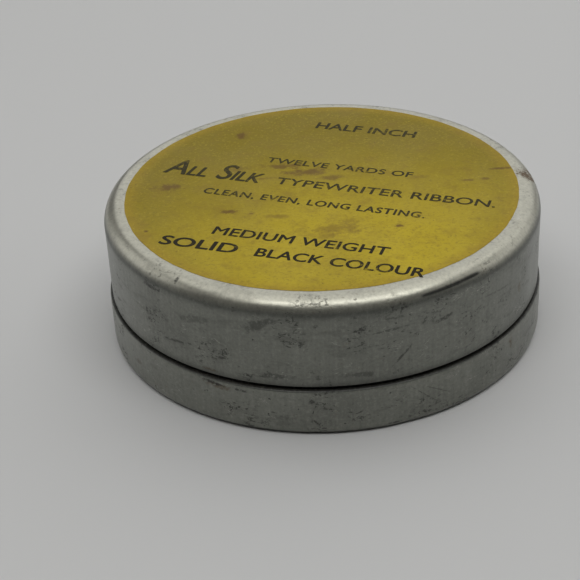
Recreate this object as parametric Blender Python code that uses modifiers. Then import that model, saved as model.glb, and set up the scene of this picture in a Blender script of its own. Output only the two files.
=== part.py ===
"""Round two-piece slip-lid tin with an inked typewriter ribbon on its spool.

Frame: +Z is the tin's axis and points up, the origin is the centre of the underside, and the
front, where the lid's print is read from, faces -Y. Lengths are in metres. The tin is drawn
sheet: a base whose upper wall is necked in, and a lid that slips over the neck. Inside, from the
bottom up, lie a card liner, the spool with its wound ribbon, and a second card liner. The
ribbon's width sets the heights, and the lid's diameter sets how wide everything inside may be.
"""

import math

import bmesh
import bpy
from mathutils import Matrix, Vector

MM = 0.001

# The tin.
LID_DIAMETER = 63.5 * MM
TIN_SHEET = 0.3 * MM
LID_EDGE_RADIUS = 2.35 * MM  # outside radius between the lid's top and its skirt
HEADROOM = 2.9 * MM  # between the upper liner and the lid
BODY_HEIGHT = 7.15 * MM  # the base's underside to its shoulder
SEAM_GAP = 0.5 * MM  # between the shoulder and the lid's lower edge
BASE_PROUD = 0.35 * MM  # how far the base's body stands out past the lid's skirt
SHOULDER_RADIUS = 0.35 * MM
BASE_EDGE_RADIUS = 1.0 * MM  # outside radius between the base's floor and its wall
NECK_SHORT = 0.8 * MM  # from the neck's top up to where the lid's round edge starts
SLIP_GAP = 0.3 * MM  # all round, between the neck and the lid's skirt

# The card liners under and over the spool.
LINER_CARD = 0.4 * MM
LINER_GAP = 0.9 * MM  # all round, between a liner and the neck

# The spool.
FLANGE_GAP = 2.05 * MM  # all round, between a flange and the neck
FLANGE_SHEET = 0.4 * MM
FLARE_WIDTH = 2.2 * MM  # the outer part of a flange, bent away from the ribbon
FLARE_RISE = 0.45 * MM
WINDOW_COUNT = 6
WINDOW_DIAMETER = 6.0 * MM
DRIVE_HOLE_COUNT = 3
DRIVE_HOLE_DIAMETER = 2.4 * MM
CORE_DIAMETER = 20.0 * MM
CORE_SHEET = 0.4 * MM
TAB_COUNT = 3
TAB_WIDTH = 2.6 * MM
TAB_PROUD = 0.3 * MM  # how far a tab's end stands out of the flange
TAB_INSET = 0.05 * MM  # each side, how much thinner a tab is than the core's sheet
RIBBON_SLIT = 1.4 * MM  # slit in the core that the ribbon's inner end goes through
SLIT_END = 1.0 * MM  # from each end of the slit to the ribbon's edge
BUSH_BORE = 8.0 * MM
BUSH_WALL = 0.5 * MM
BUSH_RIM_WIDTH = 1.5 * MM  # how far the rolled ends stand out of the tube
BUSH_RIM_SHEET = 0.3 * MM
PIN_DIAMETER = 1.0 * MM
PIN_SHORT = 1.0 * MM  # how much shorter the pin is than the ribbon's width

# The ribbon and what is fixed to its loose end.
RIBBON_WIDTH = 12.7 * MM
RIBBON_SIDE_GAP = 0.35 * MM  # between the ribbon's edge and each flange
PACK_MARGIN = 6.0 * MM  # from the wound ribbon's outer turn to the flange's edge
TAIL_SHEET = 0.25 * MM
TAIL_LENGTH = 32.0 * MM  # the loose outer end, measured round the pack
TAIL_MIDDLE_DEG = 268.0  # where the middle of the loose end lies, as an angle about +Z
EYELET_BORE = 2.6 * MM
EYELET_WALL = 0.35 * MM
EYELET_RIM_WIDTH = 0.85 * MM
EYELET_RIM_SHEET = 0.25 * MM
EYELET_FROM_CLIP = 13.0 * MM
CLIP_SHEET = 0.25 * MM
CLIP_LENGTH = 4.5 * MM
CLIP_SHORT = 1.7 * MM  # how much shorter the clip is than the ribbon's width

CONTACT_GAP = 0.3 * MM  # pieces that touch are kept this far apart
SEGMENTS = 72  # sides of the large round pieces
BUSH_SEGMENTS = 48
SMALL_SEGMENTS = 24  # sides of the holes, the pin and the eyelet
ARC_STEPS = 5
SHARP_DEG = 40.0  # an edge that bends more than this isn't shaded smooth
MERGE = 0.01 * MM
PAST = 1.0 * MM  # how far a cutter runs past what it cuts

# Heights that follow from those above.
LOWER_LINER_Z = TIN_SHEET + CONTACT_GAP
SPOOL_Z = LOWER_LINER_Z + LINER_CARD + CONTACT_GAP  # underside of the bush's lower end
LOWER_FLANGE_Z = SPOOL_Z + max(BUSH_RIM_SHEET + CONTACT_GAP, FLARE_RISE)
PACK_Z = LOWER_FLANGE_Z + FLANGE_SHEET + RIBBON_SIDE_GAP
PACK_TOP_Z = PACK_Z + RIBBON_WIDTH
UPPER_FLANGE_Z = PACK_TOP_Z + RIBBON_SIDE_GAP
SPOOL_MIDDLE_Z = (PACK_Z + PACK_TOP_Z) / 2
SPOOL_TOP_Z = 2 * SPOOL_MIDDLE_Z - SPOOL_Z
UPPER_LINER_Z = SPOOL_TOP_Z + CONTACT_GAP
TIN_HEIGHT = UPPER_LINER_Z + LINER_CARD + HEADROOM + TIN_SHEET
LID_EDGE_Z = BODY_HEIGHT + SEAM_GAP
NECK_TOP_Z = TIN_HEIGHT - LID_EDGE_RADIUS - NECK_SHORT

# Radii that follow from those above.
LID_RADIUS = LID_DIAMETER / 2
NECK_RADIUS = LID_RADIUS - TIN_SHEET - SLIP_GAP
NECK_INSIDE = NECK_RADIUS - TIN_SHEET
BASE_RADIUS = LID_RADIUS + BASE_PROUD
LINER_RADIUS = NECK_INSIDE - LINER_GAP
FLANGE_RADIUS = NECK_INSIDE - FLANGE_GAP
CORE_RADIUS = CORE_DIAMETER / 2
CORE_INSIDE = CORE_RADIUS - CORE_SHEET
BUSH_RADIUS = BUSH_BORE / 2 + BUSH_WALL
BUSH_RIM_RADIUS = BUSH_RADIUS + BUSH_RIM_WIDTH
PACK_RADIUS = FLANGE_RADIUS - PACK_MARGIN
TAIL_RADIUS = PACK_RADIUS + CONTACT_GAP + max(EYELET_RIM_SHEET, CLIP_SHEET) + CONTACT_GAP
WINDOW_RADIUS = (CORE_RADIUS + FLANGE_RADIUS - FLARE_WIDTH) / 2  # to a window's centre
DRIVE_HOLE_RADIUS = (BUSH_RIM_RADIUS + CORE_INSIDE) / 2  # to a drive hole's centre


def material(name, colour, roughness, metallic):
    """A plain Principled material."""
    made = bpy.data.materials.new(name)
    made.use_nodes = True
    shader = made.node_tree.nodes["Principled BSDF"]
    shader.inputs["Base Color"].default_value = (*colour, 1.0)
    shader.inputs["Roughness"].default_value = roughness
    shader.inputs["Metallic"].default_value = metallic
    made.diffuse_color = (*colour, 1.0)
    return made


def collection(name, shown):
    """A new collection in the scene, for the pieces or for the cutters."""
    made = bpy.data.collections.new(name)
    bpy.context.scene.collection.children.link(made)
    made.hide_render = not shown
    return made


def shade(mesh):
    """Round faces are shaded smooth and edges stay sharp."""
    mesh.shade_smooth()
    mesh.set_sharp_from_angle(angle=math.radians(SHARP_DEG))


def add(name, mesh, home, finish=None):
    """An object in its collection. One with no finish is a cutter, which isn't rendered."""
    obj = bpy.data.objects.new(name, mesh)
    home.objects.link(obj)
    if finish is None:
        obj.hide_render = True
        obj.display_type = "WIRE"
    else:
        mesh.materials.append(finish)
    return obj


def arc(middle_r, middle_z, radius, start_deg, end_deg):
    """Points of a round corner in the (r, z) plane, both ends included."""
    turns = [math.radians(start_deg + (end_deg - start_deg) * i / ARC_STEPS) for i in range(ARC_STEPS + 1)]
    return [(middle_r + radius * math.cos(a), middle_z + radius * math.sin(a)) for a in turns]


def turned(name, profile, home, finish, closed=True, segments=SEGMENTS):
    """A profile of (r, z) points turned about Z. It runs down the outer side and up the inner
    side. A ring's profile is closed, and one that starts and ends on the axis is left open."""
    points = [(r, 0.0, z) for r, z in profile]
    edges = [(i, i + 1) for i in range(len(points) - 1)]
    if closed:
        edges.append((len(points) - 1, 0))
    mesh = bpy.data.meshes.new(f"{name}_profile")
    mesh.from_pydata(points, edges, [])
    obj = add(name, mesh, home, finish)
    screw = obj.modifiers.new("Turn", "SCREW")
    screw.axis = "Z"
    screw.steps = segments
    screw.render_steps = segments
    screw.use_merge_vertices = True
    screw.merge_threshold = MERGE
    evaluated = obj.evaluated_get(bpy.context.evaluated_depsgraph_get())
    obj.data = bpy.data.meshes.new_from_object(evaluated)
    obj.modifiers.clear()
    bpy.data.meshes.remove(mesh)
    shade(obj.data)
    return obj


def cylinder(name, radius, length, matrix, home, finish=None):
    """A cylinder whose middle and direction are given by matrix."""
    mesh = bpy.data.meshes.new(name)
    bm = bmesh.new()
    bmesh.ops.create_cone(
        bm, cap_ends=True, segments=SMALL_SEGMENTS, radius1=radius, radius2=radius, depth=length
    )
    bm.to_mesh(mesh)
    bm.free()
    shade(mesh)
    obj = add(name, mesh, home, finish)
    obj.matrix_world = matrix
    return obj


def box(name, size, matrix, home):
    """A box-shaped cutter whose middle and direction are given by matrix."""
    mesh = bpy.data.meshes.new(name)
    bm = bmesh.new()
    bmesh.ops.create_cube(bm, size=1.0)
    bmesh.ops.scale(bm, vec=Vector(size), verts=bm.verts)
    bm.to_mesh(mesh)
    bm.free()
    obj = add(name, mesh, home)
    obj.matrix_world = matrix
    return obj


def sector(name, inner, outer, low, high, start_deg, end_deg, home, finish=None):
    """Part of a ring, from start_deg to end_deg about Z: its rectangular section is spun."""
    mesh = bpy.data.meshes.new(name)
    bm = bmesh.new()
    upright = Matrix.Rotation(math.radians(90), 4, "X")
    size = Matrix.Diagonal((outer - inner, 1.0, high - low, 1.0))
    middle = Matrix.Translation(((inner + outer) / 2, 0, (low + high) / 2))
    start = Matrix.Rotation(math.radians(start_deg), 4, "Z")
    bmesh.ops.create_grid(
        bm, x_segments=1, y_segments=1, size=0.5, matrix=start @ middle @ size @ upright
    )
    bmesh.ops.spin(
        bm,
        geom=bm.verts[:] + bm.edges[:] + bm.faces[:],
        cent=(0, 0, 0),
        axis=(0, 0, 1),
        angle=math.radians(end_deg - start_deg),
        steps=max(2, round((end_deg - start_deg) * SEGMENTS / 360)),
    )
    bmesh.ops.recalc_face_normals(bm, faces=bm.faces[:])
    bm.to_mesh(mesh)
    bm.free()
    shade(mesh)
    return add(name, mesh, home, finish)


def boolean(obj, other, operation="DIFFERENCE"):
    """Cuts the other object out of obj, or joins the two."""
    step = obj.modifiers.new(other.name, "BOOLEAN")
    step.object = other
    step.operation = operation
    step.solver = "EXACT"


def around(count, radius, height, start_deg=0.0):
    """Matrices at equal angles on a circle about Z, each with its X pointing outwards."""
    return [
        Matrix.Rotation(math.radians(start_deg + 360 * i / count), 4, "Z")
        @ Matrix.Translation((radius, 0, height))
        for i in range(count)
    ]


def length_deg(length, radius):
    """The angle that a length takes up round a circle."""
    return math.degrees(length / radius)


def lid(home, finish):
    """The drawn cap: flat top, round edge and a straight skirt."""
    middle_r = LID_RADIUS - LID_EDGE_RADIUS
    middle_z = TIN_HEIGHT - LID_EDGE_RADIUS
    profile = [
        (0.0, TIN_HEIGHT),
        *arc(middle_r, middle_z, LID_EDGE_RADIUS, 90, 0),
        (LID_RADIUS, LID_EDGE_Z),
        (LID_RADIUS - TIN_SHEET, LID_EDGE_Z),
        *arc(middle_r, middle_z, LID_EDGE_RADIUS - TIN_SHEET, 0, 90),
        (0.0, TIN_HEIGHT - TIN_SHEET),
    ]
    return turned("lid", profile, home, finish, closed=False)


def base(home, finish):
    """The drawn cup: flat floor, body wall, round shoulder and the neck that the lid slips over."""
    foot_r = BASE_RADIUS - BASE_EDGE_RADIUS
    shoulder_z = BODY_HEIGHT - SHOULDER_RADIUS
    inside = [
        (0.0, TIN_SHEET),
        *arc(foot_r, BASE_EDGE_RADIUS, BASE_EDGE_RADIUS - TIN_SHEET, -90, 0),
        (BASE_RADIUS - TIN_SHEET, shoulder_z - TIN_SHEET),
        (NECK_INSIDE, BODY_HEIGHT - TIN_SHEET),
        (NECK_INSIDE, NECK_TOP_Z),
    ]
    outside = [
        (NECK_RADIUS, NECK_TOP_Z),
        (NECK_RADIUS, BODY_HEIGHT),
        *arc(BASE_RADIUS - SHOULDER_RADIUS, shoulder_z, SHOULDER_RADIUS, 90, 0),
        *arc(foot_r, BASE_EDGE_RADIUS, BASE_EDGE_RADIUS, 0, -90),
        (0.0, 0.0),
    ]
    return turned("base", inside + outside, home, finish, closed=False)


def liner(name, low, home, finish):
    """A flat waxed card disc."""
    high = low + LINER_CARD
    profile = [(0.0, high), (LINER_RADIUS, high), (LINER_RADIUS, low), (0.0, low)]
    return turned(name, profile, home, finish, closed=False)


def flange(name, ribbon_side_z, outward, home, cutters, finish):
    """One pressed side of the spool. Its face towards the ribbon is at ribbon_side_z, and outward
    is 1 for the upper flange and -1 for the lower one."""
    hole = BUSH_RADIUS + CONTACT_GAP
    bend = FLANGE_RADIUS - FLARE_WIDTH
    section = [
        (hole, FLANGE_SHEET),
        (bend, FLANGE_SHEET),
        (FLANGE_RADIUS, FLANGE_SHEET + FLARE_RISE),
        (FLANGE_RADIUS, FLARE_RISE),
        (bend, 0.0),
        (hole, 0.0),
    ]
    profile = [(r, ribbon_side_z + outward * h) for r, h in section]
    plate = turned(name, profile[::outward], home, finish)
    middle_z = ribbon_side_z + outward * FLANGE_SHEET / 2
    through = FLANGE_SHEET + 2 * PAST
    for i, place in enumerate(around(WINDOW_COUNT, WINDOW_RADIUS, middle_z)):
        boolean(plate, cylinder(f"{name}_window_{i}", WINDOW_DIAMETER / 2, through, place, cutters))
    for i, place in enumerate(around(DRIVE_HOLE_COUNT, DRIVE_HOLE_RADIUS, middle_z)):
        boolean(plate, cylinder(f"{name}_drive_{i}", DRIVE_HOLE_DIAMETER / 2, through, place, cutters))
    slot = (CORE_SHEET + 2 * CONTACT_GAP, TAB_WIDTH + 2 * CONTACT_GAP, through)
    slot_r = CORE_RADIUS - CORE_SHEET / 2
    for i, place in enumerate(around(TAB_COUNT, slot_r, middle_z, start_deg=180 / TAB_COUNT)):
        boolean(plate, box(f"{name}_tab_slot_{i}", slot, place, cutters))
    return plate


def core(home, cutters, finish):
    """The barrel that the ribbon winds on, with tabs at both ends that hold the flanges."""
    low = LOWER_FLANGE_Z + FLANGE_SHEET + CONTACT_GAP
    high = UPPER_FLANGE_Z - CONTACT_GAP
    profile = [(CORE_RADIUS, high), (CORE_RADIUS, low), (CORE_INSIDE, low), (CORE_INSIDE, high)]
    barrel = turned("spool_core", profile, home, finish)
    reach = CONTACT_GAP + FLANGE_SHEET + TAB_PROUD
    half = length_deg(TAB_WIDTH, CORE_RADIUS) / 2
    for end, start, stop in (("low", low - reach, low + PAST), ("high", high - PAST, high + reach)):
        for i in range(TAB_COUNT):
            turn = 360 * (i + 0.5) / TAB_COUNT
            tab = sector(
                f"core_tab_{end}_{i}",
                CORE_INSIDE + TAB_INSET,
                CORE_RADIUS - TAB_INSET,
                start,
                stop,
                turn - half,
                turn + half,
                cutters,
            )
            boolean(barrel, tab, "UNION")
    slit = (CORE_SHEET + 2 * PAST, RIBBON_SLIT, RIBBON_WIDTH - 2 * SLIT_END)
    place = around(1, CORE_RADIUS, SPOOL_MIDDLE_Z, start_deg=TAIL_MIDDLE_DEG)[0]
    boolean(barrel, box("core_ribbon_slit", slit, place, cutters))
    return barrel


def bush(home, finish):
    """The tube that turns on the machine's spindle, its ends rolled over both flanges."""
    profile = [
        (BUSH_BORE / 2, SPOOL_TOP_Z),
        (BUSH_RIM_RADIUS, SPOOL_TOP_Z),
        (BUSH_RIM_RADIUS, SPOOL_TOP_Z - BUSH_RIM_SHEET),
        (BUSH_RADIUS, SPOOL_TOP_Z - BUSH_RIM_SHEET),
        (BUSH_RADIUS, SPOOL_Z + BUSH_RIM_SHEET),
        (BUSH_RIM_RADIUS, SPOOL_Z + BUSH_RIM_SHEET),
        (BUSH_RIM_RADIUS, SPOOL_Z),
        (BUSH_BORE / 2, SPOOL_Z),
    ]
    return turned("spindle_bush", profile, home, finish, segments=BUSH_SEGMENTS)


def pack(home, finish):
    """The wound ribbon, as one ring."""
    inner = CORE_RADIUS + CONTACT_GAP
    profile = [(PACK_RADIUS, PACK_TOP_Z), (PACK_RADIUS, PACK_Z), (inner, PACK_Z), (inner, PACK_TOP_Z)]
    return turned("ribbon_pack", profile, home, finish)


def pin(home, finish):
    """The wire inside the core that the ribbon's inner end is looped round."""
    pin_r = CORE_INSIDE - CONTACT_GAP - PIN_DIAMETER / 2
    place = around(1, pin_r, SPOOL_MIDDLE_Z, start_deg=TAIL_MIDDLE_DEG)[0]
    return cylinder("ribbon_pin", PIN_DIAMETER / 2, RIBBON_WIDTH - PIN_SHORT, place, home, finish)


def tail_angles():
    """Angles about Z of the loose end's start, its eyelet, the clip's open side and its fold."""
    half = length_deg(TAIL_LENGTH, TAIL_RADIUS) / 2
    fold = TAIL_MIDDLE_DEG + half
    mouth = fold - length_deg(CLIP_LENGTH, TAIL_RADIUS)
    return TAIL_MIDDLE_DEG - half, mouth - length_deg(EYELET_FROM_CLIP, TAIL_RADIUS), mouth, fold


def eyelet_place():
    """Where the eyelet sits, with its axis pointing out of the pack."""
    eyelet_deg = tail_angles()[1]
    place = around(1, TAIL_RADIUS, SPOOL_MIDDLE_Z, start_deg=eyelet_deg)[0]
    return place @ Matrix.Rotation(math.radians(90), 4, "Y")


def tail(home, cutters, finish):
    """The ribbon's loose outer end, lying round the pack, with a hole for its eyelet."""
    start, _, _, fold = tail_angles()
    stop = fold - length_deg(CLIP_SHEET + CONTACT_GAP, TAIL_RADIUS)
    outer = TAIL_RADIUS + TAIL_SHEET
    strip = sector("ribbon_tail", TAIL_RADIUS, outer, PACK_Z, PACK_TOP_Z, start, stop, home, finish)
    hole = EYELET_BORE / 2 + EYELET_WALL + CONTACT_GAP
    boolean(strip, cylinder("tail_hole", hole, 2 * PAST, eyelet_place(), cutters))
    return strip


def eyelet(home, finish):
    """The small ring set in the loose end, which trips the machine's ribbon reverse."""
    bore = EYELET_BORE / 2
    barrel = bore + EYELET_WALL
    rim = barrel + EYELET_RIM_WIDTH
    top = TAIL_SHEET + CONTACT_GAP + EYELET_RIM_SHEET
    low = -(CONTACT_GAP + EYELET_RIM_SHEET)
    profile = [
        (bore, top),
        (rim, top),
        (rim, top - EYELET_RIM_SHEET),
        (barrel, top - EYELET_RIM_SHEET),
        (barrel, low + EYELET_RIM_SHEET),
        (rim, low + EYELET_RIM_SHEET),
        (rim, low),
        (bore, low),
    ]
    ring = turned("tail_eyelet", profile, home, finish, segments=SMALL_SEGMENTS)
    ring.matrix_world = eyelet_place()
    return ring


def clip(home, cutters, finish):
    """The folded metal tip crimped over the end of the ribbon."""
    _, _, mouth, fold = tail_angles()
    inner = TAIL_RADIUS - CONTACT_GAP - CLIP_SHEET
    outer = TAIL_RADIUS + TAIL_SHEET + CONTACT_GAP + CLIP_SHEET
    low = PACK_Z + CLIP_SHORT / 2
    high = PACK_TOP_Z - CLIP_SHORT / 2
    tip = sector("tail_clip", inner, outer, low, high, mouth, fold, home, finish)
    slot = sector(
        "clip_slot",
        inner + CLIP_SHEET,
        outer - CLIP_SHEET,
        low - PAST,
        high + PAST,
        mouth - length_deg(PAST, TAIL_RADIUS),
        fold - length_deg(CLIP_SHEET, TAIL_RADIUS),
        cutters,
    )
    boolean(tip, slot)
    return tip


def main():
    for obj in list(bpy.data.objects):
        bpy.data.objects.remove(obj)
    home = collection("ribbon_tin", True)
    cutters = collection("cutters", False)
    tinplate = material("tinplate", (0.46, 0.46, 0.42), 0.38, 1.0)
    spool_steel = material("spool_steel", (0.42, 0.42, 0.43), 0.35, 1.0)
    brass = material("brass", (0.62, 0.47, 0.20), 0.3, 1.0)
    waxed_card = material("waxed_card", (0.62, 0.52, 0.36), 0.6, 0.0)
    inked_fabric = material("inked_fabric", (0.015, 0.015, 0.018), 0.7, 0.0)

    base(home, tinplate)
    lid(home, tinplate)
    liner("lower_liner", LOWER_LINER_Z, home, waxed_card)
    liner("upper_liner", UPPER_LINER_Z, home, waxed_card)
    flange("lower_flange", LOWER_FLANGE_Z + FLANGE_SHEET, -1, home, cutters, spool_steel)
    flange("upper_flange", UPPER_FLANGE_Z, 1, home, cutters, spool_steel)
    core(home, cutters, spool_steel)
    bush(home, spool_steel)
    pin(home, spool_steel)
    pack(home, inked_fabric)
    tail(home, cutters, inked_fabric)
    eyelet(home, brass)
    clip(home, cutters, spool_steel)


main()
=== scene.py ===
"""Looks of a round slip-lid tin and the inked ribbon on a spool inside it.

Lengths are in metres. +Z is the tin's axis, the print on the lid is read from -Y, and every size
that the frame doesn't give is named below.
"""

import math

import bmesh
import bpy
import numpy as np
from mathutils import Matrix, Vector


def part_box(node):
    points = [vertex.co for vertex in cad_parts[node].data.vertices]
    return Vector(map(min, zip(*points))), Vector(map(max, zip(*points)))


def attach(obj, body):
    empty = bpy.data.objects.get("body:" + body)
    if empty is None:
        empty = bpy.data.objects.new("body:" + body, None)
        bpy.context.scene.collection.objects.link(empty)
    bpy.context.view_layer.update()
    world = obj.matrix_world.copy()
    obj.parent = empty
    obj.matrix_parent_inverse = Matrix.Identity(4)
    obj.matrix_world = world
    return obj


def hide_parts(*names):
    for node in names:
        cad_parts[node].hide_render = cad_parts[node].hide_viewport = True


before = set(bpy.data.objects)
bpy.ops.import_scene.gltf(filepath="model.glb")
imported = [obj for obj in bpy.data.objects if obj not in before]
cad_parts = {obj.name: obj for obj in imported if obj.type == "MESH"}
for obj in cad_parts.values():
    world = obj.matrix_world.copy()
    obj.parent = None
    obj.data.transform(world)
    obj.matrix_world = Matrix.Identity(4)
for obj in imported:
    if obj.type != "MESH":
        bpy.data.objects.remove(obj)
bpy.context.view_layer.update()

MM = 0.001
TURN = 2 * math.pi


def size_of(node):
    """A node's outer radius, lowest height and highest height."""
    low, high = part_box(node)
    return (high[0] - low[0]) / 2, low[2], high[2]


# Sizes from the frame.
LID_R, LID_EDGE_Z, TOP_Z = size_of("lid")
BASE_R, _, NECK_TOP_Z = size_of("base")
LINER_R, LINER_LOW, LINER_HIGH = size_of("lower_liner")
UPPER_LINER_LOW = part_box("upper_liner")[0][2]
FLANGE_R, _, LOWER_FLANGE_TOP = size_of("lower_flange")
_, UPPER_FLANGE_LOW, _ = size_of("upper_flange")
CORE_R, _, _ = size_of("spool_core")
BUSH_RIM_R, BUSH_LOW, BUSH_HIGH = size_of("spindle_bush")
PACK_R, PACK_LOW, PACK_HIGH = size_of("ribbon_pack")
PACK_MIDDLE = (PACK_LOW + PACK_HIGH) / 2
SELVEDGE_FROM_MIDDLE = 5.7 * MM  # where the ribbon's firm edge starts
PACK_SIDE_FROM_MIDDLE = 6.2 * MM  # past this lie the edges of the pack's turns

# Sizes of the drawn tin.
SHEET = 0.3 * MM
SEAM_GAP = 0.5 * MM
SLIP_GAP = 0.3 * MM
LID_EDGE_RADIUS = 2.35 * MM
SHOULDER_RADIUS = 0.35 * MM
FOOT_RADIUS = 1.0 * MM
CUT_EDGE = 0.07 * MM  # how round a cut edge of the sheet is
SHOULDER_Z = LID_EDGE_Z - SEAM_GAP
NECK_R = LID_R - SHEET - SLIP_GAP

# The printed panel and its lettering.
PANEL_R = 28.64 * MM
PRINT_COAT = 0.03 * MM
TEXT_TURN = math.radians(-18.3)  # the lines of print are turned on the lid

STEPS = 360  # round the large pieces


# ---------------------------------------------------------------- mesh tools


def grid_faces(rows, cols, wrap_rows=False, wrap_cols=False):
    """Quads between neighbouring points of a grid of rows x cols points. A wrapped direction also
    joins its last points to its first."""
    row = np.arange(rows if wrap_rows else rows - 1)[:, None]
    col = np.arange(cols if wrap_cols else cols - 1)[None, :]
    down, right = (row + 1) % rows, (col + 1) % cols
    corners = (row * cols + col, down * cols + col, down * cols + right, row * cols + right)
    return np.stack(np.broadcast_arrays(*corners), axis=-1).reshape(-1, 4)


def joined(*parts):
    """Several (points, faces) made one."""
    offsets = np.cumsum([0] + [len(points) for points, _ in parts[:-1]])
    points = np.concatenate([points for points, _ in parts])
    return points, np.concatenate([faces + n for (_, faces), n in zip(parts, offsets)])


def meshed(name, points, faces, merge=1e-7):
    """A mesh from quads. Doubled points are merged, which closes seams and poles, and the faces
    are turned outwards."""
    mesh = bpy.data.meshes.new(name)
    mesh.vertices.add(len(points))
    mesh.vertices.foreach_set("co", np.ascontiguousarray(points, np.float32).ravel())
    mesh.loops.add(faces.size)
    mesh.loops.foreach_set("vertex_index", faces.ravel().astype(np.int32))
    mesh.polygons.add(len(faces))
    mesh.polygons.foreach_set("loop_start", np.arange(0, faces.size, 4, dtype=np.int32))
    mesh.update(calc_edges=True)
    bm = bmesh.new()
    bm.from_mesh(mesh)
    bmesh.ops.remove_doubles(bm, verts=bm.verts, dist=merge)
    bmesh.ops.recalc_face_normals(bm, faces=bm.faces)
    bm.to_mesh(mesh)
    bm.free()
    mesh.validate()
    return mesh


def points_of(mesh):
    """A mesh's points, one in a row."""
    points = np.empty(len(mesh.vertices) * 3, np.float32)
    mesh.vertices.foreach_get("co", points)
    return points.reshape(-1, 3).astype(float)


def move_to(mesh, points):
    """Moves a mesh's points to new places."""
    mesh.vertices.foreach_set("co", points.astype(np.float32).ravel())


def mark(mesh, name, numbers):
    """Gives each point of a mesh its number, under a name."""
    mesh.attributes.new(name, "FLOAT", "POINT").data.foreach_set("value", numbers.astype(np.float32))


def added(name, data):
    """A new object in the scene."""
    made = bpy.data.objects.new(name, data)
    bpy.context.scene.collection.objects.link(made)
    return made


def piece(name, points, faces, finish, body, nodes=(), sharp_deg=40):
    """A mesh object made from quads, which rides on a body."""
    return dressed(name, meshed(name, points, faces), finish, body, nodes, sharp_deg)


def dressed(name, mesh, finish, body, nodes=(), sharp_deg=40):
    """An object for a finished mesh, with its material, its body and the nodes that it replaces."""
    mesh.shade_smooth()
    mesh.set_sharp_from_angle(angle=math.radians(sharp_deg))
    mesh.materials.clear()
    mesh.materials.append(finish)
    made = added(name, mesh)
    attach(made, body)
    if nodes:
        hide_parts(*nodes)
    return made


def rounded(corners, closed=False, step=0.4 * MM, arc_steps=8):
    """A path through (x, y, radius) corners. Each corner is an arc that touches both of its
    straight runs, and the runs are divided into equal steps."""
    points = np.array([c[:2] for c in corners], float)
    count = len(points)
    path = []
    for i, (_, _, radius) in enumerate(corners):
        here = points[i]
        if radius <= 0 or (not closed and i in (0, count - 1)):
            path.append(here[None])
            continue
        before = points[i - 1] - here
        after = points[(i + 1) % count] - here
        before, after = before / np.linalg.norm(before), after / np.linalg.norm(after)
        half = math.acos(np.clip(before @ after, -1, 1)) / 2
        middle = here + (before + after) / np.linalg.norm(before + after) * radius / math.sin(half)
        start = here + before * radius / math.tan(half) - middle
        stop = here + after * radius / math.tan(half) - middle
        share = np.linspace(0, 1, arc_steps + 1)[:, None]
        sweep = math.pi - 2 * half
        arc = np.sin((1 - share) * sweep) * start + np.sin(share * sweep) * stop
        path.append(middle + arc / math.sin(sweep))
    path = np.concatenate(path)
    if closed:
        path = np.concatenate([path, path[:1]])
    dense = [path[:1]]
    for a, b in zip(path[:-1], path[1:]):
        pieces = max(1, math.ceil(np.linalg.norm(b - a) / step))
        dense.append(a + (b - a) * np.linspace(0, 1, pieces + 1)[1:, None])
    dense = np.concatenate(dense)
    return dense[:-1] if closed else dense


def revolve(profile, steps=STEPS, closed=False):
    """A profile of (r, z) points turned about Z: point (angle, i) is (r cos, r sin, z)."""
    angle = np.arange(steps)[:, None] * TURN / steps
    r, z = profile[:, 0][None], profile[:, 1][None]
    points = np.stack(np.broadcast_arrays(r * np.cos(angle), r * np.sin(angle), z), axis=-1)
    return points.reshape(-1, 3), grid_faces(steps, len(profile), wrap_rows=True, wrap_cols=closed)


def thickened(made, thickness):
    """Gives a sheet its thickness, half to each side."""
    wall = made.modifiers.new("sheet", "SOLIDIFY")
    wall.thickness = thickness
    wall.offset = 0.0


def polar(points):
    """Each point's distance from the Z axis, and its angle about it."""
    return np.hypot(points[:, 0], points[:, 1]), np.arctan2(points[:, 1], points[:, 0])


def middle_of(node):
    """The middle of a node's box."""
    low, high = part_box(node)
    return (np.array(low) + np.array(high)) / 2


def disc_profile(radius, low, high, edge, step):
    """Half the section of a solid disc or rod about Z, whose edges are rounded."""
    corners = [(0, high, 0), (radius, high, edge), (radius, low, edge), (0, low, 0)]
    return rounded(corners, step=step)


def bump_shape(distance):
    """A smooth hump: 1 at distance 0, and nothing beyond about 2."""
    return np.exp(-distance * distance)


def angle_from(angle, middle_deg):
    """The signed angle in degrees from a direction, between -180 and 180."""
    return (np.degrees(angle) - middle_deg + 180) % 360 - 180


# ---------------------------------------------------------------- material tools


class Value:
    """A number, point or colour that a shader node gives. Sums on it add nodes to Value.tree,
    the shader tree that is being made."""

    tree = None

    def __init__(self, socket):
        self.socket = socket

    def __add__(self, other):
        return calc("ADD", self, other)

    def __sub__(self, other):
        return calc("SUBTRACT", self, other)

    def __rsub__(self, other):
        return calc("SUBTRACT", other, self)

    def __mul__(self, other):
        return calc("MULTIPLY", self, other)

    def __truediv__(self, other):
        return calc("DIVIDE", self, other)

    def __abs__(self):
        return calc("ABSOLUTE", self)


def wire(node, inputs):
    """Sets a node's inputs, each to a plain value or to what another node gives."""
    for key, value in inputs.items():
        if isinstance(value, Value):
            Value.tree.links.new(value.socket, node.inputs[key])
        else:
            node.inputs[key].default_value = value
    return node


def put(kind, inputs=None, **settings):
    """A shader node with its settings and inputs."""
    node = Value.tree.nodes.new(kind)
    for key, value in settings.items():
        setattr(node, key, value)
    return wire(node, inputs or {})


def values_of(node):
    """What a node gives, by name."""
    return {socket.name: Value(socket) for socket in node.outputs}


def calc(operation, a, b=0.0, clamp=False):
    """A number worked out from two others."""
    return Value(put("ShaderNodeMath", {0: a, 1: b}, operation=operation, use_clamp=clamp).outputs[0])


def most(*numbers):
    """The greatest of several numbers."""
    total = numbers[0]
    for number in numbers[1:]:
        total = calc("MAXIMUM", total, number)
    return total


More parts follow.
